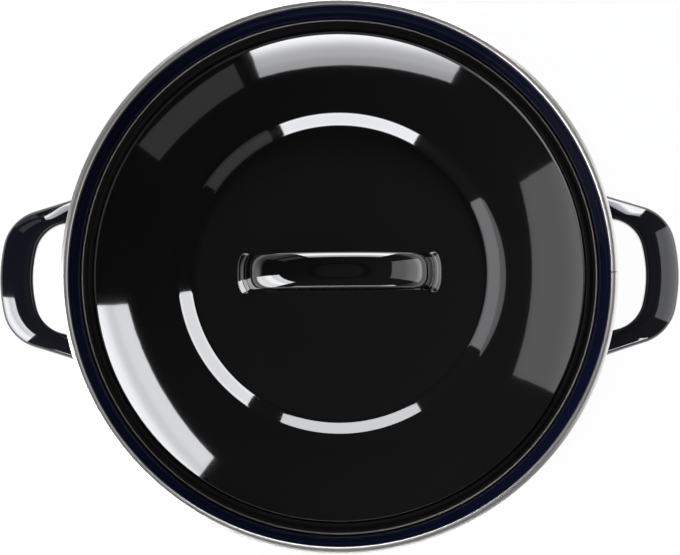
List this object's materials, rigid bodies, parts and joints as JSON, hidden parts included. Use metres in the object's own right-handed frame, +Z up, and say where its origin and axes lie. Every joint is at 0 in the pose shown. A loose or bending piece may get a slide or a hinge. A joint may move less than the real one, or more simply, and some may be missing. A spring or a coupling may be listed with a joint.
{
  "type": "stew pot",
  "caption": "Round enamelled steel stew pot with a rolled steel rim, looped side handles and a stepped domed lid with a strap handle that lifts off.",
  "frame": {"origin": "centre of the flat underside of the base, on the surface the pot stands on", "axes": "+Z up along the axis the pot and the lid are turned round, X through the two side handles and along the lid's strap handle, Y across the handles, with the rim trim's seam at +X"},
  "size_m": [0.3584, 0.29, 0.1637],
  "materials": {
    "pot_enamel": "gloss",
    "trim_steel": "polished",
    "side_handle_enamel": "gloss",
    "lid_enamel": "gloss",
    "lid_handle_enamel": "gloss"
  },
  "bodies": {
    "pot": {"pot_body": "pot_enamel", "rim_trim": "trim_steel", "side_handle_left": "side_handle_enamel", "side_handle_right": "side_handle_enamel"},
    "lid": {"lid_shell": "lid_enamel", "lid_handle": "lid_handle_enamel"}
  },
  "joints": [
    {"name": "lid_lift", "type": "slide", "parent": "pot", "child": "lid", "axis": [0, 0, 1], "range_m": [0, 0.2]}
  ]
}
